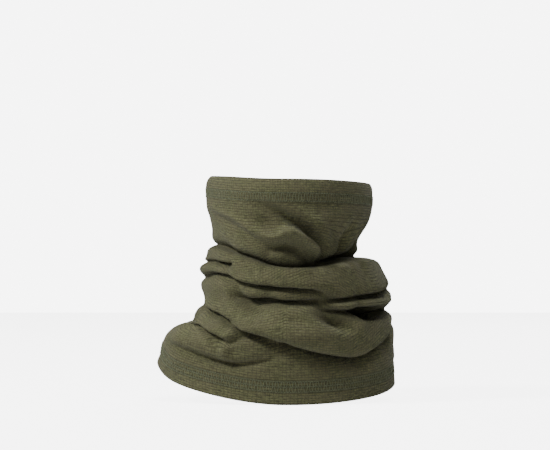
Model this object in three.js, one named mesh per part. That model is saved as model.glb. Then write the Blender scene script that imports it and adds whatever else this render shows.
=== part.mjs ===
// A neck gaiter as it is worn: a tube of stretch fleece between two turned hems, slouched into
// slanting folds around the neck.
// Millimetres, +Z up. The face looks along -Y, and +X is the viewer's right.
// The origin is on the neck's axis, level with the lowest point of the bottom hem.
//
// The cloth is one surface, followed by a level that counts up through a stack of rings and by a
// column that counts round the neck. Every piece is a stretch of that surface with its own
// thickness, so hems, threads and label keep to the cloth whatever its size.

import * as THREE from "three";

// Driving dimensions. A list of four gives the left, front, right and back.
const wall = 1.5; // one layer of fleece
const turnGap = 0.2; // air between the two layers of a turned hem
const hemHeight = 24; // both hems, measured along the cloth
const rimRound = 2.2; // length over which a hem's free edge rounds off
const gap = 0.3; // clearance between touching pieces

const faceReach = [77, 95, 87, 83]; // from the neck's axis to the rim of the top hem
const rimHeight = [222, 216, 211, 219]; // the rim slopes down to the viewer's right
const topHemLean = [1, 2, 3, 1]; // how far the top hem draws in below its rim

const shoulderReach = [127, 84, 111, 78]; // from the neck's axis to the edge of the bottom hem
const edgeHeight = [34, 0, 15, 18]; // the edge dips over the chest and rides up on the shoulders
const bottomHemLean = [6, 2, 2, 3]; // how far the bottom hem draws in above its edge

const neckReach = [64, 64, 62, 68]; // where the cloth is drawn in closest, under the chin

const needleThread = 0.7; // width of a row of needle stitches
const threadThickness = 0.5;
const topStitch = { low: 13, high: 21 }; // needle rows of the top coverstitch, below the rim
const bottomStitch = { low: 11, high: 21 }; // outer needle rows of the bottom one, above the edge
const seamWidth = 6; // between the two needle rows of the back seam

const label = { width: 34, height: 24, thickness: 0.5, fromSeam: 9 };

// The folds from the bottom hem to the top hem. share is how far up the slouched cloth a fold
// lies, from 0 at the bottom hem to 1 at the top hem, and stand is how far it stands out beyond
// the neck.
const folds = [
  { name: "skirt", share: [0.085, 0.07, 0.115, 0.06], stand: [49, 16, 46, 6] },
  { name: "hollow under the pouch", share: [0.135, 0.137, 0.165, 0.136], stand: [25, 12, 42, 0] },
  { name: "low pouch", share: [0.19, 0.18, 0.21, 0.227], stand: [27, 22, 45, 14] },
  { name: "hollow under the swag", share: [0.284, 0.23, 0.255, 0.32], stand: [11, 9, 42, 0] },
  { name: "big swag", share: [0.37, 0.3, 0.31, 0.41], stand: [18, 30, 47, 18] },
  { name: "top of the swag", share: [0.42, 0.41, 0.4, 0.47], stand: [18, 20, 43, 16] },
  { name: "crease over the swag", share: [0.461, 0.476, 0.455, 0.54], stand: [10, 6, 34, 2] },
  { name: "collar band, low edge", share: [0.518, 0.548, 0.51, 0.63], stand: [20, 20, 45, 18] },
  { name: "collar band, high edge", share: [0.645, 0.625, 0.68, 0.72], stand: [13, 17, 29, 14] },
  { name: "chin crease", share: [0.73, 0.665, 0.72, 0.79], stand: [0, 0, 0, 0] },
  { name: "cheek panel", share: [0.83, 0.762, 0.86, 0.88], stand: [10, 16, 15, 8] },
];

// Mesh fineness
const columns = 48; // facets round the neck
const rowsPerFold = 2; // facets up the cloth between two rings
const slopeStep = 0.05; // part of a level over which the cloth's slope is measured

// Levels: 0 is the bottom edge and topLevel is the rim
const bottomHemTop = 1;
const topHemBottom = bottomHemTop + folds.length + 1;
const topLevel = topHemBottom + 1;
const hemThickness = 2 * wall + turnGap;
const seamColumn = columns / 4 - 0.5; // the middle of the facet at the back

// Height of a band's other edge when the band leans in by lean over its own length.
function bandRise(lean) {
  return Math.sqrt(hemHeight ** 2 - lean ** 2);
}

function ringList() {
  const hemTop = {
    reach: shoulderReach.map((reach, side) => reach - bottomHemLean[side]),
    height: edgeHeight.map((height, side) => height + bandRise(bottomHemLean[side])),
  };
  const hemBottom = {
    reach: faceReach.map((reach, side) => reach - topHemLean[side]),
    height: rimHeight.map((height, side) => height - bandRise(topHemLean[side])),
  };
  const between = (side, share) => THREE.MathUtils.lerp(hemTop.height[side], hemBottom.height[side], share);
  const foldRings = folds.map(({ share, stand }) => ({
    reach: neckReach.map((reach, side) => reach + stand[side]),
    height: share.map((part, side) => between(side, part)),
  }));
  const edge = { reach: shoulderReach, height: edgeHeight };
  const rim = { reach: faceReach, height: rimHeight };
  return [edge, hemTop, ...foldRings, hemBottom, rim];
}

// A ring is four quarter ellipses, and its height eases from each side to the next.
function ringPoint(ring, angle) {
  const across = Math.cos(angle);
  const along = Math.sin(angle);
  const [left, front, right, back] = [0, 1, 2, 3];
  const sideways = across > 0 ? right : left;
  const lengthways = along > 0 ? back : front;
  return new THREE.Vector3(
    ring.reach[sideways] * across,
    ring.reach[lengthways] * along,
    ring.height[sideways] * across ** 2 + ring.height[lengthways] * along ** 2,
  );
}

// One curve up the cloth for each column, through the same angle of every ring.
function columnCurves() {
  const rings = ringList();
  const curves = [];
  for (let column = 0; column < columns; column += 1) {
    const angle = ((column + 0.5) / columns) * 2 * Math.PI;
    const points = rings.map((ring) => ringPoint(ring, angle));
    curves.push(new THREE.CatmullRomCurve3(points, false, "catmullrom"));
  }
  return curves;
}

const curves = columnCurves();

function onCurve(level, column) {
  const curve = curves[(column + columns) % columns];
  return curve.getPoint(THREE.MathUtils.clamp(level / topLevel, 0, 1));
}

// A corner of the cloth's facets, moved out square to the cloth.
function facetCorner(row, column, offset) {
  const level = row / rowsPerFold;
  const up = onCurve(level + slopeStep, column).sub(onCurve(level - slopeStep, column));
  const round = onCurve(level, column + 1).sub(onCurve(level, column - 1));
  const outward = round.cross(up).normalize();
  return onCurve(level, column).addScaledVector(outward, offset);
}

// Any point of the cloth's outer face, flat across each facet, moved out by an offset.
function clothPoint(level, column, offset) {
  const row = Math.min(Math.floor(level * rowsPerFold), topLevel * rowsPerFold - 1);
  const before = Math.floor(column);
  const upward = level * rowsPerFold - row;
  const onward = column - before;
  const low = facetCorner(row, before, offset).lerp(facetCorner(row, before + 1, offset), onward);
  const high = facetCorner(row + 1, before, offset).lerp(facetCorner(row + 1, before + 1, offset), onward);
  return low.lerp(high, upward);
}

function facetWidth(level) {
  const before = Math.floor(seamColumn);
  return onCurve(level, before).distanceTo(onCurve(level, before + 1));
}

// A closed solid between an outer and an inner grid of points. pointAt(row, column, skin) gives
// them, with skin 0 outside and 1 inside. A ring joins its last column to its first.
function gridSolid(rows, acrossCount, isRing, pointAt) {
  const positions = [];
  for (const skin of [0, 1]) {
    for (let row = 0; row < rows; row += 1) {
      for (let column = 0; column < acrossCount; column += 1) {
        positions.push(...pointAt(row, column, skin).toArray());
      }
    }
  }
  const faces = [];
  // Two triangles for four corners, each given as row, column and skin.
  const quad = (...corners) => {
    const [a, b, c, d] = corners.map(([row, column, skin]) => {
      return (skin * rows + row) * acrossCount + (column % acrossCount);
    });
    faces.push(a, b, c, a, c, d);
  };
  const spans = isRing ? acrossCount : acrossCount - 1;
  const last = rows - 1;
  for (let at = 0; at < spans; at += 1) {
    const next = at + 1;
    for (let row = 0; row < last; row += 1) {
      const above = row + 1;
      quad([row, at, 0], [row, next, 0], [above, next, 0], [above, at, 0]);
      quad([row, next, 1], [row, at, 1], [above, at, 1], [above, next, 1]);
    }
    quad([0, at, 1], [0, next, 1], [0, next, 0], [0, at, 0]);
    quad([last, at, 0], [last, next, 0], [last, next, 1], [last, at, 1]);
  }
  if (!isRing) {
    for (let row = 0; row < last; row += 1) {
      const above = row + 1;
      quad([row, 0, 1], [row, 0, 0], [above, 0, 0], [above, 0, 1]);
      quad([row, spans, 0], [row, spans, 1], [above, spans, 1], [above, spans, 0]);
    }
  }
  const geometry = new THREE.BufferGeometry();
  geometry.setAttribute("position", new THREE.Float32BufferAttribute(positions, 3));
  geometry.setIndex(faces);
  geometry.computeVertexNormals();
  return geometry;
}

// A ring of cloth or thread. Each stop has a level and the offsets of its two faces.
function ringSolid(stops) {
  const pointAt = (row, column, skin) => clothPoint(stops[row].level, column, stops[row].faces[skin]);
  return gridSolid(stops.length, columns, true, pointAt);
}

// A strip that runs up the back seam, between two distances to the side of it.
function seamSolid(levels, sides, faces) {
  const pointAt = (row, side, skin) => {
    const column = seamColumn + sides[side] / facetWidth(levels[row]);
    return clothPoint(levels[row], column, faces[skin]);
  };
  return gridSolid(levels.length, sides.length, false, pointAt);
}

// Levels through the single layer, stopping half a gap short of each hem.
function panelLevels() {
  const halfGap = gap / 2 / hemHeight;
  const spans = (topHemBottom - bottomHemTop) * rowsPerFold;
  const levels = [];
  for (let step = 0; step <= spans; step += 1) {
    levels.push(bottomHemTop + step / rowsPerFold);
  }
  levels[0] += halfGap;
  levels[spans] -= halfGap;
  return levels;
}

function tubePanel() {
  return ringSolid(panelLevels().map((level) => ({ level, faces: [0, -wall] })));
}

// A doubled band that rounds off at its free edge, with a row wherever the cloth's facets meet.
// levelAt turns a distance from the free edge into a level.
function hemBand(levelAt) {
  const rows = [
    { distance: 0, share: 0.35 },
    { distance: 0.3 * rimRound, share: 0.8 },
    { distance: rimRound, share: 1 },
  ];
  for (let row = 1; row < rowsPerFold; row += 1) {
    rows.push({ distance: (hemHeight * row) / rowsPerFold, share: 1 });
  }
  rows.push({ distance: hemHeight - gap / 2, share: 1 });
  const half = hemThickness / 2;
  const stops = rows.map(({ distance, share }) => ({
    level: levelAt(distance),
    faces: [share * half - half, -share * half - half],
  }));
  return ringSolid(stops.sort((one, other) => one.level - other.level));
}

const aboveEdge = (distance) => distance / hemHeight;
const belowRim = (distance) => topLevel - distance / hemHeight;

// A band of thread round a hem, between two distances from the hem's free edge.
function threadBand(levelAt, from, to, faces) {
  const levels = [levelAt(from), levelAt(to)].sort((one, other) => one - other);
  return ringSolid(levels.map((level) => ({ level, faces })));
}

const outsideThread = [gap + threadThickness, gap];
const insideHemThread = [-hemThickness - gap, -hemThickness - gap - threadThickness];
const insidePanelThread = [-wall - gap, -wall - gap - threadThickness];

function needleRow(levelAt, distance) {
  return threadBand(levelAt, distance - needleThread / 2, distance + needleThread / 2, outsideThread);
}

// The thread that crosses from one needle row to the next, as the band that it fills.
function crossing(levelAt, from, to, faces) {
  const inset = needleThread / 2 + gap;
  return threadBand(levelAt, from + inset, to - inset, faces);
}

function seamNeedleRow(side) {
  const middle = (side * seamWidth) / 2;
  return seamSolid(panelLevels(), [middle - needleThread / 2, middle + needleThread / 2], outsideThread);
}

function seamCrossing(faces) {
  const reach = seamWidth / 2 - needleThread / 2 - gap;
  return seamSolid(panelLevels(), [-reach, reach], faces);
}

// Levels up the back from the bottom hem, facet by facet, until the label's height is used up.
function labelLevels() {
  const levels = [bottomHemTop + gap / hemHeight];
  let left = label.height;
  while (left > 0) {
    const from = levels.at(-1);
    const to = (Math.floor(from * rowsPerFold) + 1) / rowsPerFold;
    const climb = clothPoint(from, seamColumn, 0).distanceTo(clothPoint(to, seamColumn, 0));
    levels.push(THREE.MathUtils.lerp(from, to, Math.min(1, left / climb)));
    left -= climb;
  }
  return levels;
}

// A folded tab on the inside of the panel, held by the bottom hem beside the back seam.
function careLabel() {
  const stepsAcross = 6;
  const levels = labelLevels();
  const faces = [-wall - gap, -wall - gap - label.thickness];
  const pointAt = (row, step, skin) => {
    const side = label.fromSeam + (label.width * step) / stepsAcross;
    return clothPoint(levels[row], seamColumn + side / facetWidth(levels[row]), faces[skin]);
  };
  return gridSolid(levels.length, stepsAcross + 1, false, pointAt);
}

const fleece = { color: 0x53522f, roughness: 0.95, metalness: 0 };
const hemFleece = { color: 0x5a5937, roughness: 0.95, metalness: 0 };
const thread = { color: 0x4d5536, roughness: 0.7, metalness: 0 };
const satin = { color: 0xd8d6cc, roughness: 0.6, metalness: 0 };

const gaiter = new THREE.Group();

function addPiece(name, geometry, finish) {
  const mesh = new THREE.Mesh(geometry, new THREE.MeshStandardMaterial(finish));
  mesh.name = name;
  gaiter.add(mesh);
}

const { low: topLow, high: topHigh } = topStitch;
const { low: bottomLow, high: bottomHigh } = bottomStitch;
const bottomMiddle = (bottomLow + bottomHigh) / 2;

addPiece("tube_panel", tubePanel(), fleece);
addPiece("top_hem", hemBand(belowRim), hemFleece);
addPiece("bottom_hem", hemBand(aboveEdge), hemFleece);

addPiece("top_needle_thread_upper", needleRow(belowRim, topLow), thread);
addPiece("top_needle_thread_lower", needleRow(belowRim, topHigh), thread);
addPiece("top_cover_thread", crossing(belowRim, topLow, topHigh, outsideThread), thread);
addPiece("top_looper_thread", crossing(belowRim, topLow, topHigh, insideHemThread), thread);

addPiece("bottom_needle_thread_lower", needleRow(aboveEdge, bottomLow), thread);
addPiece("bottom_needle_thread_middle", needleRow(aboveEdge, bottomMiddle), thread);
addPiece("bottom_needle_thread_upper", needleRow(aboveEdge, bottomHigh), thread);
addPiece("bottom_cover_thread_lower", crossing(aboveEdge, bottomLow, bottomMiddle, outsideThread), thread);
addPiece("bottom_cover_thread_upper", crossing(aboveEdge, bottomMiddle, bottomHigh, outsideThread), thread);
addPiece("bottom_looper_thread", crossing(aboveEdge, bottomLow, bottomHigh, insideHemThread), thread);

addPiece("back_seam_needle_thread_left", seamNeedleRow(-1), thread);
addPiece("back_seam_needle_thread_right", seamNeedleRow(1), thread);
addPiece("back_seam_cover_thread", seamCrossing(outsideThread), thread);
addPiece("back_seam_looper_thread", seamCrossing(insidePanelThread), thread);

addPiece("care_label", careLabel(), satin);

export default gaiter;
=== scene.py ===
import math
import bpy
import numpy as np
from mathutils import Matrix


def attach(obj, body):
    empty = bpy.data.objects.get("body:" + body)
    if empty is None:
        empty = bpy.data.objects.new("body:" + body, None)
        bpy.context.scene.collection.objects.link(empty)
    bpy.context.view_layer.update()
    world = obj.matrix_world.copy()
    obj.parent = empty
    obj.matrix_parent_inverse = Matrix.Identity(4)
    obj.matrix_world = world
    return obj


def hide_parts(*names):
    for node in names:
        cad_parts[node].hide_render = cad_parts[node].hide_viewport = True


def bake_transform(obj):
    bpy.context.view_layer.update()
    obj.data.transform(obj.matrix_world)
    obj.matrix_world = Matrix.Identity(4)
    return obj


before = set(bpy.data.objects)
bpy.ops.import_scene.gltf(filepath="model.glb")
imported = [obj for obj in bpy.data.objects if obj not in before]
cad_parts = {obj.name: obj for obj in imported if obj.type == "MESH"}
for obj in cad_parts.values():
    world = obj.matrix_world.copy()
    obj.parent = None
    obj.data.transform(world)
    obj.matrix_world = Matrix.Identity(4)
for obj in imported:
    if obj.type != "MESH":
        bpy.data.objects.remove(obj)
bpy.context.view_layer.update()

mm = 0.001  # every size below is in millimetres and every mesh is in metres


camera = {
    "aim": (-9.0, 0.0, 144.0),  # the camera looks level along +Y at this point
    "distance": 2000.0,
    "lens": 131.0,
    "sensor": 36.0,
    "farthest": 20.0,  # in metres
    "shiftUp": 0.0545,
}


def addCamera():
    data = bpy.data.cameras.new("camera")
    data.lens = camera["lens"]
    data.sensor_width = camera["sensor"]
    data.shift_y = camera["shiftUp"]
    data.clip_end = camera["farthest"]
    view = bpy.data.objects.new("camera", data)
    x, y, z = camera["aim"]
    view.location = (x * mm, (y - camera["distance"]) * mm, z * mm)
    view.rotation_euler = (math.radians(90), 0, 0)
    bpy.context.collection.objects.link(view)
    bpy.context.scene.camera = view


addCamera()
print("camera placed")


# Angles are in degrees round the neck: 0 at the front, 90 at the viewer's right, 180 at the back.

# A smooth curve through knots (x, y): cubic pieces whose slope at a knot is the mean slope
# across it, so y = h00 y0 + h10 d m0 + h01 y1 + h11 d m1. With a period it joins up.
def easeThrough(knots, at, period=None):
    x, y = np.array(sorted(knots), float).T
    if period:
        at = (at - x[0]) % period + x[0]
        x = np.concatenate([x[-2:] - period, x, x[:2] + period])
        y = np.concatenate([y[-2:], y, y[:2]])
    else:
        at = np.clip(at, x[0], x[-1])
    slope = np.gradient(y, x)
    k = np.clip(np.searchsorted(x, at, side="right") - 1, 0, len(x) - 2)
    d = x[k + 1] - x[k]
    t = (at - x[k]) / d
    return (y[k] * (1 + 2 * t) * (1 - t) ** 2 + slope[k] * d * t * (1 - t) ** 2
            + y[k + 1] * t * t * (3 - 2 * t) + slope[k + 1] * d * t * t * (t - 1))


# How far the cloth stands from the neck's axis at each height, before its creases are pressed in.
outline = {
    "left": [(34, 127), (39, 126.5), (45, 124), (57, 121.5), (63, 119), (68, 115), (71, 110.5),
             (74, 102.5), (77.5, 93), (86, 89), (95, 84), (104, 81), (112, 83),
             (124, 83), (131, 84), (136, 82), (141, 78), (148, 76), (156, 75.5), (163, 72),
             (170, 72), (180, 74), (190, 77), (205, 78), (214, 78), (219, 76.5), (222, 74)],
    "front": [(0, 84), (24, 83), (40, 84), (50, 87), (58, 92), (70, 96), (85, 94), (100, 91),
              (112, 92), (122, 92), (132, 89), (138, 87), (146, 88), (158, 91), (175, 93), (192, 94),
              (208, 95), (216, 93)],
    "right": [(15, 111), (30, 110), (49, 109), (66, 110), (78, 110), (86, 108), (94, 106), (103, 107),
              (112, 107), (118, 104.5), (127, 99.5), (134, 95.5), (139, 92.5), (141.5, 88), (144, 77.5),
              (150, 74.5), (157, 73), (163, 76), (170, 80.5), (175, 83.5), (181, 86), (190, 88),
              (205, 88.5), (211, 88), (214, 86.5)],
    "back": [(18, 78), (41, 77), (60, 80), (76, 84), (95, 86), (110, 87), (124, 86), (138, 88),
             (152, 86), (165, 82), (176, 81), (195, 83), (219, 82)],
}
edgeHeight = {"left": 37, "front": 1.4, "right": 16.4, "back": 19.4}
rimHeight = {"left": 222, "front": 216, "right": 214, "back": 219}
edgeTurn = {"left": 1.72, "right": 2.25, "end": 16, "endShare": 0.32}  # how late the edge turns up

# Creases pressed into the cloth. Each has points (angle, height of the visible line, depth).
# turn is the height over which the overhanging fold curls in, tuck the same for the cloth that
# disappears under it, and rise how far the hidden bottom of the crease lies behind that fold. side
# is 1 where the fold above hangs over, and -1 where the fold below stands up in front. roll is how
# far the overhanging fold swells. The rise fades in over span millimetres of depth, from flat on.
creases = {
    "chin": {
        "points": [(-180, 160, 14), (-135, 160, 12), (-90, 154, 9), (-66, 153, 12), (-45, 147, 16),
                   (-26, 141, 18), (-8, 134, 18), (12, 132, 18), (30, 135, 20), (50, 139, 24),
                   (68, 142, 26), (80, 142, 14), (95, 142, 6), (120, 142, 6), (150, 152, 14)],
        "side": -1, "turn": 5, "tuck": 2.4, "rise": 8, "roll": 2},
    "slit": {
        "points": [(-130, 138, 0), (-100, 137, 5), (-74, 138, 10), (-58, 138, 12), (-50, 137, 20),
                   (-44, 136, 18), (-38, 135, 0)],
        "side": 1, "turn": 2.6, "tuck": 1.6, "rise": 4, "roll": 1},
    "band": {
        "points": [(-180, 128, 13), (-130, 122, 10), (-95, 121, 4), (-76, 124, 10), (-60, 127, 14),
                   (-45, 125, 16), (-30, 118, 18), (-12, 114, 20), (6, 112, 18), (17, 110, 13),
                   (24, 107, 6), (30, 104, 0), (120, 118, 0), (150, 126, 10)],
        "side": 1, "turn": 5.5, "tuck": 2, "rise": 11, "roll": 2},
    "finger": {
        "points": [(-42, 104, 0), (-35, 103, 13), (-26, 102, 20), (-12, 101, 22), (2, 99, 22), (12, 99, 21),
                   (22, 100, 19), (32, 101, 18), (44, 103, 17), (60, 105, 17), (74, 107, 15),
                   (84, 109, 9), (96, 110, 4), (140, 112, 0)],
        "side": 1, "turn": 3.6, "tuck": 2, "rise": 8, "roll": 2.5, "flat": 14, "span": 8},
    "slot": {
        "points": [(16, 91, 0), (22, 91, 10), (30, 90, 14), (38, 90, 14), (46, 90, 12), (54, 90, 0)],
        "side": 1, "turn": 2.4, "tuck": 1.6, "rise": 1.5, "roll": 1},
    "gap": {
        "points": [(40, 91, 0), (45, 91, 13), (50, 91, 26), (60, 91, 30), (74, 91, 26), (84, 91, 12),
                   (105, 88, 6), (130, 86, 6), (145, 84, 0)],
        "side": 1, "turn": 4.5, "tuck": 3, "rise": 3, "roll": 2},
    "pocket": {
        "points": [(40, 88, 0), (46, 82, 18), (53, 81, 30), (62, 82, 32), (74, 84, 24), (84, 87, 10),
                   (90, 90, 0)],
        "side": -1, "turn": 2.2, "tuck": 3, "rise": 9, "roll": 1.5},
    "swag": {
        "points": [(-180, 84, 14), (-130, 90, 10), (-92, 95, 4), (-74, 97, 12), (-64, 93, 15),
                   (-56, 89, 14), (-48, 84.5, 12), (-38, 78, 11.5), (-26, 70.5, 11.5), (-14, 64.5, 12),
                   (-2, 58.5, 14), (8, 54.5, 18), (15, 51, 22), (30, 46, 24), (42, 45, 22), (54, 53, 18),
                   (70, 64, 13), (82, 71, 7), (92, 75, 3), (120, 78, 6), (150, 82, 12)],
        "side": 1, "turn": 6, "tuck": 2.5, "rise": 14, "roll": 2.5, "flat": 9, "span": 7},
    "swagEdge": {
        "points": [(-60, 90, 0), (-52, 86.5, 6), (-38, 78, 10), (-26, 70.5, 10), (-14, 64.5, 9),
                   (-4, 59.5, 6), (4, 56, 0)],
        "side": 1, "turn": 2.4, "tuck": 1.6, "rise": 7, "roll": 0, "span": 10},
    "wedge": {
        "points": [(-30, 58, 0), (-25, 59.5, 6), (-19, 61, 10), (-13, 62, 13), (-6, 60.5, 12),
                   (1, 57, 8), (8, 53, 0)],
        "side": 1, "turn": 2.6, "tuck": 2, "rise": 1.5, "roll": 0.5},
    "pouch": {
        "points": [(-180, 52, 6), (-130, 62, 5), (-92, 76, 6), (-70, 76, 14), (-58, 75, 18),
                   (-48, 73, 18), (-37, 67, 16), (-30, 62, 9), (-24, 57, 0), (150, 50, 0), (165, 50, 5)],
        "side": 1, "turn": 3.4, "tuck": 2, "rise": 9, "roll": 2.5},
    "tip": {
        "points": [(-72, 58, 0), (-59, 54, 4), (-46, 48, 7), (-35, 43, 9), (-27, 40, 11),
                   (-20, 39, 9), (-13, 42, 6), (-2, 45, 3), (8, 47, 0)],
        "side": 1, "turn": 4, "tuck": 2.2, "rise": 4, "roll": 1.5},
}

# Soft hollows (and, with a depth below 0, swellings): their middle, their size across and up, and
# how far they lean over, in degrees.
hollows = {
    "underBand": {"angle": -20, "height": 91, "across": 15, "up": 7, "lean": -10, "depth": 8},
    "underFold": {"angle": 6, "height": 80, "across": 13, "up": 5, "lean": -20, "depth": 3},
    "gapPit": {"angle": 27, "height": 79, "across": 17, "up": 5.5, "lean": -24, "depth": 15},
    "swagRidge": {"angle": 43, "height": 77, "across": 4, "up": 9, "lean": 6, "depth": -5},
    "swagBelly": {"angle": 18, "height": 64, "across": 30, "up": 9, "lean": -8, "depth": -3},
    "shoulderBelly": {"angle": -58, "height": 104, "across": 16, "up": 14, "lean": 20, "depth": -3},
    "cheek": {"angle": 28, "height": 144, "across": 22, "up": 5, "lean": 0, "depth": 5},
    "cheekHollow": {"angle": -13, "height": 175, "across": 15, "up": 6, "lean": -18, "depth": 8},
    "jaw": {"angle": 52, "height": 154, "across": 5, "up": 19, "lean": -5, "depth": 9},
    "jawBack": {"angle": 77, "height": 149, "across": 3.2, "up": 9, "lean": 8, "depth": 11},
    "tipRidge": {"angle": -28, "height": 54, "across": 3.5, "up": 11, "lean": 3, "depth": -6},
    "tipHollow": {"angle": -23, "height": 51, "across": 5, "up": 5, "lean": 0, "depth": 2},
    "pouchBelly": {"angle": -62, "height": 62, "across": 16, "up": 7, "lean": -14, "depth": -4},
}

# Soft folds along a line of points (angle, height, depth), with a depth below 0 for a ridge. The
# cloth moves in by depth exp(-((height - line) / up)^2).
softFolds = {
    "noseFold": {"points": [(-28, 196, 0), (-15, 190, 6), (-3, 183, 11), (8, 175.5, 14),
                            (18, 167, 15), (26, 158, 12), (32, 152, 6), (37, 147, 0)], "up": 5},
    "noseRidge": {"points": [(4, 188, 0), (14, 182, -2), (24, 174, -4), (32, 165, -4), (38, 156, 0)],
                  "up": 4.5},
    "cheekRidge": {"points": [(-84, 196, 0), (-62, 190, -3), (-39, 180, -5), (-28, 170, -6),
                              (-20, 163.5, -6), (-10, 160, -6), (-3, 162, -5), (3, 165, -3),
                              (8, 166, 0)], "up": 3.6},
    "tongue": {"points": [(-6, 165, 0), (1, 168, -5), (7, 167, -9), (13, 162, -12), (20, 155, -13),
                          (26, 150, -9), (31, 146, 0)], "up": 4},
    "tongueUnder": {"points": [(-18, 149, 0), (-8, 151, 7), (0, 153, 12), (7, 151, 13), (14, 146, 11),
                               (22, 142, 6), (30, 141, 0)], "up": 3.8},
    "cheekFold": {"points": [(-70, 184, 0), (-52, 177, 3), (-31, 164, 4), (-19, 157, 4), (-8, 153.5, 2),
                             (0, 152, 0)], "up": 3.4},
    "lowRidge": {"points": [(-58, 164, 0), (-44, 156, -3), (-30, 152, -4), (-18, 148, -4), (-8, 145, -3),
                            (2, 142, 0)], "up": 3.6},
    "jawRidge": {"points": [(56, 150, 0), (62, 158, -2), (72, 168, -3), (84, 176, 0)], "up": 7},
    "fingerRidge": {"points": [(-4, 92, 0), (8, 93, -4), (20, 94, -6), (34, 96, -7), (50, 97, -8),
                               (66, 98, -6), (78, 99, -2), (86, 100, 0)], "up": 3},
    "cheekHigh": {"points": [(16, 178, 0), (34, 180, -3), (52, 184, -3), (70, 188, 0)], "up": 7},
    "skirtWave": {"points": [(10, 30, 0), (30, 34, -2), (50, 38, -2), (80, 46, 0)], "up": 9},
    "backFold": {"points": [(110, 176, 0), (135, 184, 4), (170, 178, 5), (-160, 186, 3), (-130, 180, 0)],
                 "up": 7},
    "backRidge": {"points": [(120, 144, 0), (150, 150, -4), (-170, 146, -4), (-140, 142, 0)], "up": 8},
    "backLow": {"points": [(100, 60, 0), (125, 66, 5), (160, 70, 6), (-160, 66, 0)], "up": 7},
}

# Small wrinkles scattered over the panel, shallow and mostly level.
wrinkles = {
    "count": 150,
    "seed": 7,
    "across": (7, 18),
    "up": (1.8, 3.4),
    "depth": 1.5,
    "lean": 30,
    "heights": (30, 188),
}

cloth = {
    "columns": 256,
    "rows": 160,
    "steps": 900,  # how finely a column is followed before it is shared out into rows
    "softness": 1.6,  # in mm, of the folds' rounding
    "roundBlend": 1.0,  # in columns
    "courseBlend": 9.0,
    "thickness": 1.3,
    "layers": 2.8,  # from a hem's outer face to its inner face
    "turned": 22.0,  # width of cloth turned to the inside at each hem
    "turnedRows": 10,
    "rollRows": 4,
    "girth": 540.0,
    "length": 300.0,
    "hemMargin": 30.0,
    "seamWidth": 6.0,
    "seamHeight": 0.5,
}


angles = np.linspace(-180, 180, cloth["columns"], endpoint=False)


def foldLine(points, column):
    return easeThrough([(p[0], p[column]) for p in points], angles, 360)


# Where the overhanging fold is lowest: the least of x + rise exp(-(x / turn)^2) for x > 0.
def lipPlace(turn, rise):
    x = np.linspace(0, 3 * turn, 90)[:, None]
    return (x + rise * np.exp(-(x / turn) ** 2)).min(axis=0)


# At a distance x above the bottom of a crease, the cloth moves in by depth exp(-|x / w|^1.5), with
# w the turn on the overhanging side and the tuck on the other, and up by rise exp(-(x / turn)^2),
# with a shorter turn on the other side. The overhanging fold swells by roll exp(-(x / turn - 2)^2).
def pressCreases(height):
    outward = np.zeros_like(height)
    upward = np.zeros_like(height)
    for crease in creases.values():
        turn, tuck, side = crease["turn"], crease["tuck"], crease["side"]
        depth = np.maximum(foldLine(crease["points"], 2), 0)
        fade = np.clip((depth - crease.get("flat", 0)) / crease.get("span", 16), 0, 1)
        rise = crease["rise"] * fade
        bottom = foldLine(crease["points"], 1) - side * lipPlace(turn, rise)
        x = (height - bottom) * side
        outward -= depth * np.exp(-np.abs(x / np.where(x > 0, turn, tuck)) ** 1.5)
        outward += crease["roll"] * fade * np.exp(-(x / turn - 2) ** 2)
        upward += side * rise * np.exp(-(x / np.where(x > 0, turn, 0.8 * turn)) ** 2)
    return outward, upward


# Each hollow is depth exp(-(u / across)^2 - (v / up)^2), with u and v turned by its lean.
def pressHollow(hollow, height, aroundMm):
    turn = math.radians(hollow["lean"])
    u = ((angles - hollow["angle"] + 180) % 360 - 180) * aroundMm
    v = height - hollow["height"]
    along = u * math.cos(turn) + v * math.sin(turn)
    over = v * math.cos(turn) - u * math.sin(turn)
    return -hollow["depth"] * np.exp(-(along / hollow["across"]) ** 2 - (over / hollow["up"]) ** 2)


def scatterWrinkles():
    pick = np.random.default_rng(wrinkles["seed"])
    count = wrinkles["count"]
    values = {
        "angle": pick.uniform(-180, 180, count),
        "height": pick.uniform(*wrinkles["heights"], count),
        "across": pick.uniform(*wrinkles["across"], count),
        "up": pick.uniform(*wrinkles["up"], count),
        "lean": pick.uniform(-wrinkles["lean"], wrinkles["lean"], count),
        "depth": pick.uniform(-wrinkles["depth"], wrinkles["depth"], count),
    }
    return [{key: row[k] for key, row in values.items()} for k in range(count)]


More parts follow.
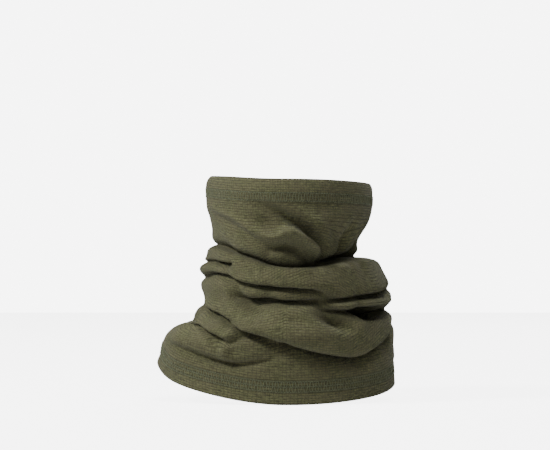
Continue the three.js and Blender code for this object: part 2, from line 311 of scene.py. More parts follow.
# The cloth's outer face, in mm. share runs from 0 at the bottom edge to 1 at the rim, and
# x = reach sin(angle), y = -reach cos(angle), with a reach for each side at that height. The edge
# rises from front to side as (1 - e) s^p + e s^q, with s = |sin(angle)|.
def wornSurface(share):
    across, along = np.sin(np.radians(angles)), np.cos(np.radians(angles))
    side = across > 0
    face = along > 0

    def between(heights, weight):
        sideHeight = np.where(side, heights["right"], heights["left"])
        faceHeight = np.where(face, heights["front"], heights["back"])
        return sideHeight * weight + faceHeight * (1 - weight)

    power = np.where(side, edgeTurn["right"], edgeTurn["left"])
    edgeWeight = ((1 - edgeTurn["endShare"]) * np.abs(across) ** power
                  + edgeTurn["endShare"] * np.abs(across) ** edgeTurn["end"])
    low, high = between(edgeHeight, edgeWeight), between(rimHeight, across ** 2)
    height = low + share * (high - low)
    reachX = np.where(side, easeThrough(outline["right"], height), easeThrough(outline["left"], height))
    reachY = np.where(face, easeThrough(outline["front"], height), easeThrough(outline["back"], height))
    outward, upward = pressCreases(height)
    aroundMm = 0.5 * (reachX + reachY) * math.pi / 180
    for hollow in list(hollows.values()) + scatterWrinkles():
        outward += pressHollow(hollow, height, aroundMm)
    for fold in softFolds.values():
        foldAngles, foldHeights, foldDepths = np.array(fold["points"], float).T
        over = height - np.interp(angles, foldAngles, foldHeights, period=360)
        outward -= np.interp(angles, foldAngles, foldDepths, period=360) * np.exp(-(over / fold["up"]) ** 2)
    fromSeam = (180 - np.abs(angles)) * aroundMm
    outward += cloth["seamHeight"] * np.exp(-(2 * fromSeam / cloth["seamWidth"]) ** 4)
    normalX, normalY = across / reachX, -along / reachY
    size = np.hypot(normalX, normalY)
    x = reachX * across + outward * normalX / size
    y = -reachY * along + outward * normalY / size
    return np.stack([x, y, height + upward], -1)


def arcLengths(points):  # distance along each column from its first point
    steps = np.linalg.norm(np.diff(points, axis=0), axis=-1)
    return np.concatenate([np.zeros((1, points.shape[1])), np.cumsum(steps, axis=0)])


# Moves the rows of each column to even distances along it.
def shareOut(points, rows):
    length = arcLengths(points)
    share = np.linspace(0, 1, rows)
    out = np.empty((rows, points.shape[1], 3))
    for column in range(points.shape[1]):
        place = share * length[-1, column]
        for axis in range(3):
            out[:, column, axis] = np.interp(place, length[:, column], points[:, column, axis])
    return out


# Cross product of the directions round and up, made unit length.
def normalsOf(points):
    around = np.roll(points, -1, axis=1) - np.roll(points, 1, axis=1)
    up = np.gradient(points, axis=0)
    normal = np.cross(around, up)
    return normal / np.linalg.norm(normal, axis=-1, keepdims=True)


def bellWeights(sigma):  # exp(-(k / sigma)^2 / 2), made to add up to 1
    reach = int(3 * sigma) + 1
    weights = np.exp(-0.5 * (np.arange(-reach, reach + 1) / sigma) ** 2)
    return reach, weights / weights.sum()


# Rounds the folds: each row becomes the weighted mean of its neighbours up and down the cloth. The
# two ends stay where they are.
def softenUp(points, sigma):
    reach, weights = bellWeights(sigma)
    padded = np.concatenate([2 * points[0] - points[reach:0:-1], points,
                             2 * points[-1] - points[-2:-reach - 2:-1]])
    return sum(w * padded[k:k + len(points)] for k, w in enumerate(weights))


def softenRound(values, sigma):  # the same round the neck
    reach, weights = bellWeights(sigma)
    return sum(w * np.roll(values, k - reach, axis=1) for k, w in enumerate(weights))


# The cloth's rows. Each column is first softened at even distances. A row then lies where the
# share of the column's length below it, evened out with the columns beside it, is the same all
# round, so a course of the knit runs smoothly from column to column.
def wornRows():
    steps, columns = cloth["steps"], cloth["columns"]
    evenly = np.linspace(0, 1, steps)
    raw = wornSurface(evenly[:, None] + np.zeros((1, columns)))
    length = arcLengths(raw)
    below = length / length[-1]
    evened = softenRound(below, cloth["courseBlend"])
    fine = shareOut(raw, steps)
    fine = softenRound(softenUp(fine, cloth["softness"] / length[-1].mean() * steps), cloth["roundBlend"])
    rowShare = np.linspace(0, 1, cloth["rows"])
    out = np.empty((cloth["rows"], columns, 3))
    for column in range(columns):
        at = np.interp(rowShare, evened[:, column], evenly)
        place = np.interp(at, evenly, below[:, column])
        for axis in range(3):
            out[:, column, axis] = np.interp(place, evenly, fine[:, column, axis])
    return out


worn = wornRows()
columnLength = arcLengths(worn)[-1]
print("cloth up its columns, mm:", columnLength.min().round(), columnLength.mean().round(),
      columnLength.max().round())


# A closed or open grid of quads, wound to face out where its columns run anticlockwise seen from
# outside. across gives each column line's place on the UV map and along each row line's, or each
# point's, in metres. closeRows joins the last row to the first, and capEnds shuts both ends.
def gridMesh(name, points, across, along, closeRows=False, capEnds=False):
    rows, columns = points.shape[:2]
    r, c = np.meshgrid(np.arange(rows if closeRows else rows - 1), np.arange(columns), indexing="ij")
    after, above = (c + 1) % columns, (r + 1) % rows
    faces = np.stack([r * columns + c, r * columns + after, above * columns + after,
                      above * columns + c], -1).reshape(-1, 4)
    if along.ndim == 1:
        along = along[:, None] + np.zeros((1, columns))
    u = np.stack([across[c], across[c + 1], across[c + 1], across[c]], -1)
    v = np.stack([along[r, c], along[r, after], along[r + 1, after], along[r + 1, c]], -1)
    uv = np.stack([u, v], -1).reshape(-1)
    faceList = faces.tolist()
    if capEnds:
        ends = [list(range(columns))[::-1], list(range((rows - 1) * columns, rows * columns))]
        faceList += ends
        uv = np.concatenate([uv, np.zeros(4 * columns)])
    data = bpy.data.meshes.new(name)
    data.from_pydata(points.reshape(-1, 3).tolist(), [], faceList)
    data.uv_layers.new(name="cloth").data.foreach_set("uv", uv)
    data.polygons.foreach_set("use_smooth", np.ones(len(data.polygons), bool))
    data.update()
    piece = bpy.data.objects.new(name, data)
    bpy.context.collection.objects.link(piece)
    return piece


outerNormal = normalsOf(worn)
outerLength = arcLengths(worn)
spacing = np.linalg.norm(np.roll(worn, -1, axis=1) - worn, axis=-1).mean(axis=0)
columnPlace = np.concatenate([[0], np.cumsum(spacing)]) / spacing.sum() * cloth["girth"]


# The point at a distance up the cloth from its bottom edge (or down from its rim), at a column that
# may lie between two grid columns, lifted off the outer face: P = P0 (1 - t) + P1 t + lift N.
def onCloth(distance, column, lift, fromTop=False):
    points, normal, length = worn, outerNormal, outerLength
    if fromTop:
        points, normal, length = worn[::-1], outerNormal[::-1], outerLength[-1] - outerLength[::-1]
    distance = np.broadcast_to(np.asarray(distance, float), column.shape)
    first = np.floor(column).astype(int)
    place, facing = 0.0, 0.0
    for k, share in ((first, 1 - (column - first)), (first + 1, column - first)):
        k = k % cloth["columns"]
        row = np.clip((length[:, k] < distance).sum(axis=0), 1, len(points) - 1)
        t = ((distance - length[row - 1, k]) / (length[row, k] - length[row - 1, k]))[:, None]
        place = place + share[:, None] * (points[row - 1, k] * (1 - t) + points[row, k] * t)
        facing = facing + share[:, None] * (normal[row - 1, k] * (1 - t) + normal[row, k] * t)
    facing = facing / np.linalg.norm(facing, axis=-1, keepdims=True)
    return place + facing * np.asarray(lift)[..., None], facing


# The rolled edge and the turned layer. With offset o from the outer face and distance d beyond the
# edge, the roll is o = -r (1 - cos t), d = r sin t, and the turned layer is o = -2 r.
def hemRows(fromTop):
    points, normal = (worn[::-1], outerNormal[::-1]) if fromTop else (worn, outerNormal)
    beyond = points[0] - points[1]
    beyond /= np.linalg.norm(beyond, axis=-1, keepdims=True)
    radius = cloth["layers"] / 2
    rows, places = [], []
    for step in range(1, cloth["rollRows"] + 1):
        t = math.pi * step / cloth["rollRows"]
        rows.append(points[0] - normal[0] * radius * (1 - math.cos(t)) + beyond * radius * math.sin(t))
        places.append(radius * t)
    everyColumn = np.arange(cloth["columns"], dtype=float)
    for step in range(1, cloth["turnedRows"] + 1):
        distance = cloth["turned"] * step / cloth["turnedRows"]
        rows.append(onCloth(distance, everyColumn, -2 * radius, fromTop)[0])
        places.append(radius * math.pi + distance)
    return rows, places


def makeTube():
    lowRows, lowPlaces = hemRows(False)
    topRows, topPlaces = hemRows(True)
    points = np.array(lowRows[::-1] + list(worn) + topRows) * mm
    # True distances in the hems, and between them an even share of the cut length.
    margin, total = cloth["hemMargin"], outerLength[-1]
    even = np.linspace(0, cloth["length"], cloth["rows"])[:, None]
    true = np.where(even < cloth["length"] / 2, outerLength, cloth["length"] - total + outerLength)
    t = np.clip((np.minimum(outerLength, total - outerLength) - margin) / margin, 0, 1)
    up = true + (even - true) * t * t * (3 - 2 * t)
    level = np.zeros((1, cloth["columns"]))
    along = np.concatenate([-np.array(lowPlaces)[::-1, None] + level, up,
                            cloth["length"] + np.array(topPlaces)[:, None] + level])
    tube = gridMesh("fleece_tube", points, columnPlace * mm, along * mm)
    wall = tube.modifiers.new("wall", "SOLIDIFY")
    wall.thickness = cloth["thickness"] * mm
    wall.offset = -1
    wall.material_offset = 1
    return tube


thread = {
    "pitch": 2.8,
    "width": 0.7,
    "depth": 0.6,
    "sides": 6,
    "needleSteps": 6,  # points along one stitch
    "crossingSteps": 8,
    "needleLift": 0.3,
    "needleDip": 0.75,  # how far a needle thread goes down into the cloth between two stitches
    "crossingLift": 0.12,
    "inner": -0.25,  # of a looper thread, from the hem's or the panel's inner face
    "squareness": 2.4,
}
topStitch = {"low": 13.0, "high": 21.0}  # down from the rim, so the high value is the lower row
bottomStitch = {"low": 11.0, "middle": 16.0, "high": 21.0}  # up from the edge


# A thread carried along a path: ring point = P + side (w / 2) cos a - N (d / 2) sin a, with
# side = T x N.
def threadPiece(name, path, facing, closed):
    if closed:
        tangent = np.roll(path, -1, axis=0) - np.roll(path, 1, axis=0)
    else:
        tangent = np.gradient(path, axis=0)
    tangent /= np.linalg.norm(tangent, axis=-1, keepdims=True)
    side = np.cross(tangent, facing)
    side /= np.linalg.norm(side, axis=-1, keepdims=True)
    top = np.cross(side, tangent)
    around = np.linspace(0, 2 * math.pi, thread["sides"] + 1)
    ring = around[:-1, None]
    points = (path[:, None] + side[:, None] * np.cos(ring) * thread["width"] / 2
              - top[:, None] * np.sin(ring) * thread["depth"] / 2)
    steps = np.linalg.norm(np.roll(path, -1, axis=0) - path, axis=-1)
    along = np.concatenate([[0], np.cumsum(steps)])
    return gridMesh(name, points * mm, around * thread["width"] / 2 * mm, along * mm,
                    closeRows=closed, capEnds=not closed)


# Columns at even distances round the cloth at one distance from its edge, so that whole stitches
# fit, with the place of each in stitches.
def roundTheHem(distance, fromTop, steps):
    columns = np.arange(cloth["columns"] + 1, dtype=float)
    ring = onCloth(distance, columns, np.zeros(len(columns)), fromTop)[0]
    length = np.concatenate([[0], np.cumsum(np.linalg.norm(np.diff(ring, axis=0), axis=-1))])
    stitches = 2 * round(length[-1] / thread["pitch"] / 2)
    at = np.arange(stitches * steps) / steps
    return np.interp(at * length[-1] / stitches, length, columns), at


# A needle row: lift = top - dip |cos(pi s)|^4, so it arches over each stitch s and dips between.
def needleRow(name, distance, fromTop):
    column, at = roundTheHem(distance, fromTop, thread["needleSteps"])
    lift = thread["needleLift"] - thread["needleDip"] * np.abs(np.cos(math.pi * at)) ** 4
    path, facing = onCloth(distance, column, lift, fromTop)
    return threadPiece(name, path, facing, True)


# A thread that crosses between two rows once a stitch: place = middle + half tanh(k sin(pi s)) /
# tanh(k).
def crossing(at, low, high):
    k = thread["squareness"]
    return (low + high) / 2 + (high - low) / 2 * np.tanh(k * np.sin(math.pi * at)) / math.tanh(k)


def crossingRow(name, low, high, fromTop, inside=False, shift=0.0):
    column, at = roundTheHem((low + high) / 2, fromTop, thread["crossingSteps"])
    lift = thread["inner"] - cloth["layers"] if inside else thread["crossingLift"]
    path, facing = onCloth(crossing(at + shift, low, high), column, np.full(len(at), lift), fromTop)
    return threadPiece(name, path, facing, True)


# The back seam runs up the first column. Its threads keep to the same two places beside it:
# column = +-offset / spacing.
def seamPath(steps):
    count = round(columnLength[0] / thread["pitch"])
    at = np.arange(count * steps + 1) / steps
    distance = at / count * columnLength[0]
    margin = cloth["seamWidth"] / 6
    return at, np.clip(distance, margin, columnLength[0] - margin)


def seamNeedleRow(name, offset):
    at, distance = seamPath(thread["needleSteps"])
    lift = thread["needleLift"] - thread["needleDip"] * np.abs(np.cos(math.pi * at)) ** 4
    column = offset / spacing[0] + np.zeros(len(at)) + cloth["columns"]
    path, facing = onCloth(distance, column, lift)
    return threadPiece(name, path, facing, False)


def seamCrossing(name, inside):
    at, distance = seamPath(thread["crossingSteps"])
    half = cloth["seamWidth"] / 2
    column = crossing(at, -half, half) / spacing[0] + cloth["columns"]
    hem = (distance < cloth["turned"]) | (distance > columnLength[0] - cloth["turned"])
    inner = np.where(hem, -cloth["layers"], -cloth["thickness"]) + thread["inner"]
    path, facing = onCloth(distance, column, inner if inside else np.full(len(at), thread["crossingLift"]))
    return threadPiece(name, path, facing, False)


label = {
    "width": 34.0,
    "height": 24.0,
    "thickness": 0.35,
    "fromSeam": 9.0,
    "start": 20.0,  # up from the bottom edge, where the hem's stitches catch it
    "clearance": 0.9,
    "fold": 0.7,  # between its two layers
    "rows": 22,
    "columns": 24,
    "foldRows": 5,
}


# A tab folded at its free end: it goes up the cloth's inner face at one offset, turns over in a
# half circle and comes back at an offset further in.
def makeLabel():
    side = np.linspace(0, label["width"], label["columns"])
    column = cloth["columns"] - (label["fromSeam"] + side) / spacing[-4]
    rows = []
    near = -cloth["layers"] - label["clearance"]
    run = np.linspace(0, label["height"], label["rows"])
    route = [(label["start"] + d, near) for d in run]
    half = label["fold"] / 2
    foldStart = label["start"] + label["height"]
    for t in np.linspace(0, math.pi, label["foldRows"] + 2)[1:-1]:
        route.append((foldStart + half * math.sin(t), near - half + half * math.cos(t)))
    route += [(label["start"] + d, near - label["fold"]) for d in run[::-1]]
    for distance, lift in route:
        rows.append(onCloth(distance, column, np.full(len(column), lift))[0])
    points = np.array(rows) * mm
    r, c = np.meshgrid(np.arange(len(rows) - 1), np.arange(label["columns"] - 1), indexing="ij")
    n = label["columns"]
    faces = np.stack([r * n + c, r * n + c + 1, (r + 1) * n + c + 1, (r + 1) * n + c], -1).reshape(-1, 4)
    steps = np.linalg.norm(np.diff(np.array(route), axis=0), axis=1)
    length = np.concatenate([[0], np.cumsum(steps)])
    u = np.stack([side[c], side[c + 1], side[c + 1], side[c]], -1)
    v = np.stack([length[r], length[r], length[r + 1], length[r + 1]], -1)
    data = bpy.data.meshes.new("care_tab")
    data.from_pydata(points.reshape(-1, 3).tolist(), [], faces.tolist())
    data.uv_layers.new(name="cloth").data.foreach_set("uv", np.stack([u, v], -1).reshape(-1) * mm)
    data.polygons.foreach_set("use_smooth", np.ones(len(data.polygons), bool))
    piece = bpy.data.objects.new("care_tab", data)
    bpy.context.collection.objects.link(piece)
    wall = piece.modifiers.new("wall", "SOLIDIFY")
    wall.thickness = label["thickness"] * mm
    wall.offset = 0
    return piece


# Shader node helpers: a value given as a number is set on the socket, anything else is linked.
def feed(tree, socket, value):
    if isinstance(value, bpy.types.NodeSocket):
        tree.links.new(value, socket)
    else:
        socket.default_value = value


def calc(tree, operation, *values):
    node = tree.nodes.new("ShaderNodeMath")
    node.operation = operation
    for k, value in enumerate(values):
        feed(tree, node.inputs[k], value)
    return node.outputs[0]


def ramp(tree, value, low, high):  # 0 at low, 1 at high, with a smooth start and end
    node = tree.nodes.new("ShaderNodeMapRange")
    node.interpolation_type = "SMOOTHSTEP"
    feed(tree, node.inputs["Value"], value)
    feed(tree, node.inputs["From Min"], low)
    feed(tree, node.inputs["From Max"], high)
    return node.outputs["Result"]


def blendColours(tree, factor, first, second):
    node = tree.nodes.new("ShaderNodeMix")
    node.data_type = "RGBA"
    node.blend_type = "MIX"
    feed(tree, node.inputs["Factor"], factor)
    feed(tree, node.inputs["A"], first)
    feed(tree, node.inputs["B"], second)
    return node.outputs["Result"]


def noise(tree, vector, scaleX, scaleY, detail=2.0):
    stretch = tree.nodes.new("ShaderNodeVectorMath")
    stretch.operation = "MULTIPLY"
    feed(tree, stretch.inputs[0], vector)
    stretch.inputs[1].default_value = (scaleX, scaleY, 1.0)
    node = tree.nodes.new("ShaderNodeTexNoise")
    node.inputs["Scale"].default_value = 1.0
    node.inputs["Detail"].default_value = detail
    tree.links.new(stretch.outputs[0], node.inputs["Vector"])
    return node.outputs["Fac"]


def newGroup(name, inputs, outputs):
    tree = bpy.data.node_groups.new(name, "ShaderNodeTree")
    for socketName, kind in inputs:
        tree.interface.new_socket(name=socketName, in_out="INPUT", socket_type=kind)
    for socketName, kind in outputs:
        tree.interface.new_socket(name=socketName, in_out="OUTPUT", socket_type=kind)
    return tree, tree.nodes.new("NodeGroupInput"), tree.nodes.new("NodeGroupOutput")


knitWaver = {"scale": 90, "reach": 0.0005}  # how far the grooves stray, in metres


# Knit cells between grooves: mask = how near the nearest groove is, for both directions, and
# height = 1 - the stronger mask.
def gridKnitGroup():
    tree, given, result = newGroup(
        "gridKnit",
        [("Place", "NodeSocketVector"), ("Across", "NodeSocketFloat"), ("Along", "NodeSocketFloat"),
         ("Groove", "NodeSocketFloat"), ("Upright", "NodeSocketFloat")],
        [("Height", "NodeSocketFloat"), ("Grooves", "NodeSocketFloat")])
    split = tree.nodes.new("ShaderNodeSeparateXYZ")
    tree.links.new(given.outputs["Place"], split.inputs[0])
    scale = knitWaver["scale"]
    waver = calc(tree, "MULTIPLY", noise(tree, given.outputs["Place"], scale, scale), knitWaver["reach"])
    masks = []
    for axis, pitch in (("X", "Across"), ("Y", "Along")):
        place = calc(tree, "DIVIDE", calc(tree, "ADD", split.outputs[axis], waver), given.outputs[pitch])
        near = calc(tree, "MULTIPLY", calc(tree, "ABSOLUTE", calc(
            tree, "SUBTRACT", calc(tree, "FRACT", place), 0.5)), 2.0)
        masks.append(ramp(tree, near, calc(tree, "SUBTRACT", 1.0, given.outputs["Groove"]), 1.0))
    upright = calc(tree, "MULTIPLY", masks[0], given.outputs["Upright"])
    grooves = calc(tree, "MAXIMUM", upright, masks[1])
    tree.links.new(grooves, result.inputs["Grooves"])
    tree.links.new(calc(tree, "SUBTRACT", 1.0, grooves), result.inputs["Height"])
    return tree


heather = {
    "streaks": (170, 1100, 3.0),  # noise across, along, and its detail
    "wales": (1300, 320, 2.0),
    "clouds": (60, 75, 3.0),
    "fibres": (2600, 2600, 4.0),
    "streakShare": 0.6,
    "cloudLow": 0.35,
    "cloudHigh": 0.65,
}


# Heather yarn: streaks along the courses, clouds of slightly different dye, and loose fibres.
def heatherGroup():
    tree, given, result = newGroup(
        "heather",
        [("Place", "NodeSocketVector"), ("Contrast", "NodeSocketFloat")],
        [("Streaks", "NodeSocketFloat"), ("Clouds", "NodeSocketFloat"), ("Fibres", "NodeSocketFloat")])
    streaks = noise(tree, given.outputs["Place"], *heather["streaks"])
    wales = noise(tree, given.outputs["Place"], *heather["wales"])
    both = calc(tree, "ADD", calc(tree, "MULTIPLY", streaks, heather["streakShare"]),
                calc(tree, "MULTIPLY", wales, 1 - heather["streakShare"]))
    spread = calc(tree, "MULTIPLY", calc(tree, "SUBTRACT", both, 0.5), given.outputs["Contrast"])
    tree.links.new(calc(tree, "ADD", spread, 0.5), result.inputs["Streaks"])
    clouds = noise(tree, given.outputs["Place"], *heather["clouds"])
    tree.links.new(ramp(tree, clouds, heather["cloudLow"], heather["cloudHigh"]), result.inputs["Clouds"])
    tree.links.new(noise(tree, given.outputs["Place"], *heather["fibres"]), result.inputs["Fibres"])
    return tree


# Twisted plies: a diagonal stripe, |fract(a / pitch + u / width) - 0.5| * 2.
def twistGroup():
    tree, given, result = newGroup(
        "twist",
        [("Place", "NodeSocketVector"), ("Pitch", "NodeSocketFloat")],
        [("Plies", "NodeSocketFloat")])
    split = tree.nodes.new("ShaderNodeSeparateXYZ")
    tree.links.new(given.outputs["Place"], split.inputs[0])
    slant = calc(tree, "ADD", split.outputs["Y"], calc(tree, "MULTIPLY", split.outputs["X"], 1.3))
    saw = calc(tree, "FRACT", calc(tree, "DIVIDE", slant, given.outputs["Pitch"]))
    stripe = calc(tree, "MULTIPLY", calc(tree, "ABSOLUTE", calc(tree, "SUBTRACT", saw, 0.5)), 2.0)
    tree.links.new(stripe, result.inputs["Plies"])
    return tree


groups = {"gridKnit": gridKnitGroup(), "heather": heatherGroup(), "twist": twistGroup()}
print("node groups made")


def startMaterial(name, roughness, sheen):
    material = bpy.data.materials.new(name)
    material.use_nodes = True
    tree = material.node_tree
    shader = tree.nodes["Principled BSDF"]
    shader.inputs["Roughness"].default_value = roughness
    shader.inputs["Sheen Weight"].default_value = sheen
    shader.inputs["Sheen Roughness"].default_value = 0.5
    shader.inputs["Specular IOR Level"].default_value = 0.25
    place = tree.nodes.new("ShaderNodeUVMap")
    place.uv_map = "cloth"
    return material, tree, shader, place.outputs["UV"]


def placeGroup(tree, name, place, **values):
    node = tree.nodes.new("ShaderNodeGroup")
    node.node_tree = groups[name]
    tree.links.new(place, node.inputs["Place"])
    for key, value in values.items():
        node.inputs[key].default_value = value
    return node.outputs


def addBump(tree, shader, height, strength, distance):
    bump = tree.nodes.new("ShaderNodeBump")
    bump.inputs["Strength"].default_value = strength
    bump.inputs["Distance"].default_value = distance
    tree.links.new(height, bump.inputs["Height"])
    tree.links.new(bump.outputs["Normal"], shader.inputs["Normal"])


fleece = {
    "dark": (0.040, 0.040, 0.018, 1),
    "light": (0.146, 0.150, 0.068, 1),
    "warm": (0.116, 0.102, 0.056, 1),
    "warmShare": 0.35,
    "grooveShade": 0.55,
    # the colour of painted shade, laid into the knit's grooves and the needle rows' dents
    "paintedShadeColour": (0.018, 0.019, 0.009, 1),
    "across": 0.0030,
    "along": 0.0025,
    "groove": 0.42,
    "upright": 0.6,
    "contrast": 3.2,
    "roughness": 0.9,
    "sheen": 0.06,
    "bumpStrength": 0.9,
    "bumpDistance": 0.0006,
    "fibreHeight": 0.8,  # beside the knit's own height of 1
    "streakHeight": 0.5,
    "pullHeight": 1.5,
    "pullWidth": 0.0010,
    "pullShade": 0.35,
}


# The lines that the needle threads pull into the cloth: 1 on a row, fading out beside it.
def needleLines(tree, place):
    split = tree.nodes.new("ShaderNodeSeparateXYZ")
    tree.links.new(place, split.inputs[0])
    rows = list(bottomStitch.values()) + [cloth["length"] - v for v in topStitch.values()]
    total = 0.0
    for row in rows:
        near = calc(tree, "ABSOLUTE", calc(tree, "SUBTRACT", split.outputs["Y"], row * mm))
        total = calc(tree, "MAXIMUM", ramp(tree, near, fleece["pullWidth"], 0.0), total)
    return total


def fleeceMaterial():
    material, tree, shader, place = startMaterial("grid_fleece", fleece["roughness"], fleece["sheen"])
    knit = placeGroup(tree, "gridKnit", place, Across=fleece["across"], Along=fleece["along"],
                      Groove=fleece["groove"], Upright=fleece["upright"])
    yarn = placeGroup(tree, "heather", place, Contrast=fleece["contrast"])
    base = blendColours(tree, yarn["Streaks"], fleece["dark"], fleece["light"])
    warmth = calc(tree, "MULTIPLY", yarn["Clouds"], fleece["warmShare"])
    base = blendColours(tree, warmth, base, fleece["warm"])
    # Painted shade: the knit's grooves are darkened towards the shade colour.
    shade = calc(tree, "MULTIPLY", knit["Grooves"], fleece["grooveShade"])
    base = blendColours(tree, shade, base, fleece["paintedShadeColour"])
    pulled = needleLines(tree, place)
    # Painted shade along the dents that the needle rows pull into the cloth.
    pullShade = calc(tree, "MULTIPLY", pulled, fleece["pullShade"])
    base = blendColours(tree, pullShade, base, fleece["paintedShadeColour"])
    tree.links.new(base, shader.inputs["Base Color"])
    height = calc(tree, "ADD", knit["Height"], calc(tree, "MULTIPLY", yarn["Fibres"], fleece["fibreHeight"]))
    height = calc(tree, "ADD", height, calc(tree, "MULTIPLY", yarn["Streaks"], fleece["streakHeight"]))
    height = calc(tree, "SUBTRACT", height, calc(tree, "MULTIPLY", pulled, fleece["pullHeight"]))
    addBump(tree, shader, height, fleece["bumpStrength"], fleece["bumpDistance"])
    return material


brushed = {
    "dark": (0.050, 0.050, 0.026, 1),
    "light": (0.125, 0.122, 0.066, 1),
    "contrast": 2.0,
    "roughness": 1.0,
    "sheen": 0.1,
    "bumpStrength": 1.0,
    "bumpDistance": 0.0009,
    "cloudHeight": 0.5,
}


def brushedMaterial():
    material, tree, shader, place = startMaterial("brushed_back", brushed["roughness"], brushed["sheen"])
    yarn = placeGroup(tree, "heather", place, Contrast=brushed["contrast"])
    mixed = calc(tree, "MULTIPLY", calc(tree, "ADD", yarn["Fibres"], yarn["Streaks"]), 0.5)
    tree.links.new(blendColours(tree, mixed, brushed["dark"], brushed["light"]), shader.inputs["Base Color"])
    clouds = calc(tree, "MULTIPLY", yarn["Clouds"], brushed["cloudHeight"])
    height = calc(tree, "ADD", yarn["Fibres"], clouds)
    addBump(tree, shader, height, brushed["bumpStrength"], brushed["bumpDistance"])
    return material


yarnLook = {
    "dark": (0.045, 0.052, 0.026, 1),
    "light": (0.160, 0.178, 0.096, 1),
    "pitch": 0.0009,
    "contrast": 1.5,
    "roughness": 0.6,
    "sheen": 0.1,
    "pliesShare": 0.6,  # share of painted ply shade in its dark and light, the rest being the yarn's own streaks
    "bumpStrength": 0.8,
    "bumpDistance": 0.00015,
}


def threadMaterial():
    material, tree, shader, place = startMaterial(
        "polyester_thread", yarnLook["roughness"], yarnLook["sheen"])
    twist = placeGroup(tree, "twist", place, Pitch=yarnLook["pitch"])
    yarn = placeGroup(tree, "heather", place, Contrast=yarnLook["contrast"])
    # The thread's colour is painted shade between the twisted plies, mixed with the yarn's own streaks.
    plyShadeAndStreaks = calc(tree, "ADD", calc(tree, "MULTIPLY", twist["Plies"], yarnLook["pliesShare"]),
               calc(tree, "MULTIPLY", yarn["Streaks"], 1 - yarnLook["pliesShare"]))
    tree.links.new(blendColours(tree, plyShadeAndStreaks, yarnLook["dark"], yarnLook["light"]), shader.inputs["Base Color"])
    addBump(tree, shader, twist["Plies"], yarnLook["bumpStrength"], yarnLook["bumpDistance"])
    return material


satin = {
    "weft": (0.62, 0.61, 0.56, 1),
    "warp": (0.74, 0.73, 0.69, 1),
    "pitch": 0.0004,
    "roughness": 0.38,
    "sheen": 0.0,
    "groove": 0.6,
    "upright": 0.4,
    "contrast": 1.0,
    "streakHeight": 0.4,
    "bumpStrength": 0.7,
    "bumpDistance": 0.00008,
}


def satinMaterial():
    material, tree, shader, place = startMaterial("label_satin", satin["roughness"], satin["sheen"])
    weave = placeGroup(tree, "gridKnit", place, Across=satin["pitch"] * 3, Along=satin["pitch"],
                       Groove=satin["groove"], Upright=satin["upright"])
    yarn = placeGroup(tree, "heather", place, Contrast=satin["contrast"])
    colour = blendColours(tree, weave["Height"], satin["weft"], satin["warp"])
    tree.links.new(colour, shader.inputs["Base Color"])
    streaks = calc(tree, "MULTIPLY", yarn["Streaks"], satin["streakHeight"])
    height = calc(tree, "ADD", weave["Height"], streaks)
    addBump(tree, shader, height, satin["bumpStrength"], satin["bumpDistance"])
    return material


materials = {
    "fleece": fleeceMaterial(),
    "brushed": brushedMaterial(),
    "thread": threadMaterial(),
    "satin": satinMaterial(),
}
print("materials made")

tube = makeTube()
tube.data.materials.append(materials["fleece"])
tube.data.materials.append(materials["brushed"])
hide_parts("tube_panel", "top_hem", "bottom_hem")
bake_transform(tube)
print("tube made, faces:", len(tube.data.polygons))


def finishThread(piece, node, body):
    piece.data.materials.append(materials["thread"])
    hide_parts(node)
    if body:
        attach(piece, body)
    else:
        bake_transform(piece)


for stitchRow, rowName in (("low", "upper"), ("high", "lower")):
    finishThread(needleRow("top_" + rowName + "_needle_thread", topStitch[stitchRow], True),
                 "top_needle_thread_" + rowName, "top_band")
finishThread(crossingRow("top_crossing_thread", topStitch["low"], topStitch["high"], True),
             "top_cover_thread", "top_band")
finishThread(crossingRow("top_inside_thread", topStitch["low"], topStitch["high"], True, inside=True),
             "top_looper_thread", "top_band")
for stitchRow, rowName in (("low", "lower"), ("middle", "middle"), ("high", "upper")):
    finishThread(needleRow("bottom_" + rowName + "_needle_thread", bottomStitch[stitchRow], False),
                 "bottom_needle_thread_" + rowName, "worn_tube")
finishThread(crossingRow("bottom_lower_crossing_thread", bottomStitch["low"], bottomStitch["middle"], False),
             "bottom_cover_thread_lower", "worn_tube")
finishThread(crossingRow("bottom_upper_crossing_thread", bottomStitch["middle"], bottomStitch["high"], False,
                         shift=1.0), "bottom_cover_thread_upper", "worn_tube")
finishThread(crossingRow("bottom_inside_thread", bottomStitch["low"], bottomStitch["high"], False,
                         inside=True), "bottom_looper_thread", "worn_tube")
for sign, sideName in ((-1, "left"), (1, "right")):
    finishThread(seamNeedleRow("seam_" + sideName + "_needle_thread", sign * cloth["seamWidth"] / 2),
                 "back_seam_needle_thread_" + sideName, None)
finishThread(seamCrossing("seam_crossing_thread", False), "back_seam_cover_thread", None)
finishThread(seamCrossing("seam_inside_thread", True), "back_seam_looper_thread", None)
print("threads made")

tab = makeLabel()
tab.data.materials.append(materials["satin"])
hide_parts("care_label")
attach(tab, "worn_tube")
print("label made")


studio = {
    "floor": 3.0,
    "paper": (0.66, 0.66, 0.66, 1),
    "glow": 5.3,  # how much brighter the camera sees the paper
    "backdrop": 7.0,  # how bright the empty studio looks
    "fill": 0.08,  # how much it lights the cloth
}


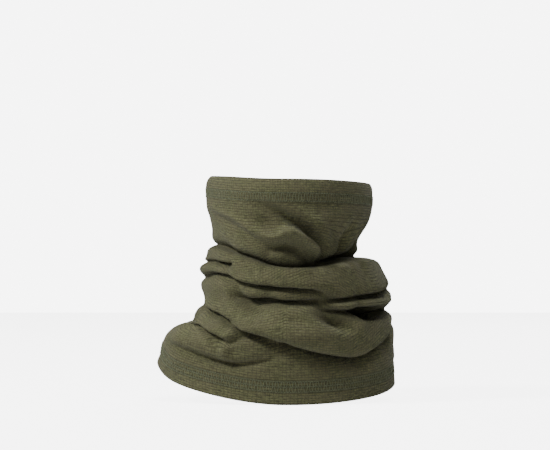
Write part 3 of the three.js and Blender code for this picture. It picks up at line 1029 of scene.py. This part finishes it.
# A white studio: the world looks bright to the camera and lights the cloth with less.
def makeStudio():
    reach = studio["floor"]
    data = bpy.data.meshes.new("floor")
    data.from_pydata([(-reach, -reach, 0), (reach, -reach, 0), (reach, reach, 0), (-reach, reach, 0)], [],
                     [(0, 1, 2, 3)])
    floor = bpy.data.objects.new("floor", data)
    bpy.context.collection.objects.link(floor)
    paper = bpy.data.materials.new("paper")
    paper.use_nodes = True
    tree = paper.node_tree
    shader = tree.nodes["Principled BSDF"]
    shader.inputs["Base Color"].default_value = studio["paper"]
    shader.inputs["Roughness"].default_value = 0.9
    shader.inputs["Emission Color"].default_value = (1, 1, 1, 1)
    path = tree.nodes.new("ShaderNodeLightPath")
    glow = calc(tree, "MULTIPLY", path.outputs["Is Camera Ray"], studio["glow"])
    tree.links.new(glow, shader.inputs["Emission Strength"])
    data.materials.append(paper)
    world = bpy.data.worlds.new("studio")
    bpy.context.scene.world = world
    world.use_nodes = True
    tree = world.node_tree
    light = tree.nodes["Background"]
    light.inputs["Color"].default_value = (1, 1, 1, 1)
    light.inputs["Strength"].default_value = studio["fill"]
    seen = tree.nodes.new("ShaderNodeBackground")
    seen.inputs["Color"].default_value = (1, 1, 1, 1)
    seen.inputs["Strength"].default_value = studio["backdrop"]
    path = tree.nodes.new("ShaderNodeLightPath")
    mix = tree.nodes.new("ShaderNodeMixShader")
    tree.links.new(path.outputs["Is Camera Ray"], mix.inputs[0])
    tree.links.new(light.outputs[0], mix.inputs[1])
    tree.links.new(seen.outputs[0], mix.inputs[2])
    tree.links.new(mix.outputs[0], tree.nodes["World Output"].inputs["Surface"])


def addLight(name, place, aim, size, power):
    data = bpy.data.lights.new(name, "AREA")
    data.shape = "DISK"
    data.size = size
    data.energy = power
    light = bpy.data.objects.new(name, data)
    light.location = place
    x, y, z = (aim[k] - place[k] for k in range(3))
    light.rotation_euler = (math.atan2(math.hypot(x, y), -z), 0, math.atan2(-x, y))
    bpy.context.collection.objects.link(light)


# Round soft lamps, in metres and watts.
lamps = {
    "key": {"place": (-1.8, -0.95, 1.9), "aim": (0, 0, 0.1), "size": 0.6, "power": 90},
    "top": {"place": (0.3, -0.5, 2.6), "aim": (0, 0, 0.1), "size": 0.8, "power": 44},
    "front": {"place": (-0.7, -2.3, 0.4), "aim": (0, 0, 0.05), "size": 0.8, "power": 5},
    "back": {"place": (0.9, 1.9, 1.5), "aim": (0, 0, 0.1), "size": 1.2, "power": 22},
}

makeStudio()
for lampName, lamp in lamps.items():
    addLight(lampName, **lamp)
print("studio lit")
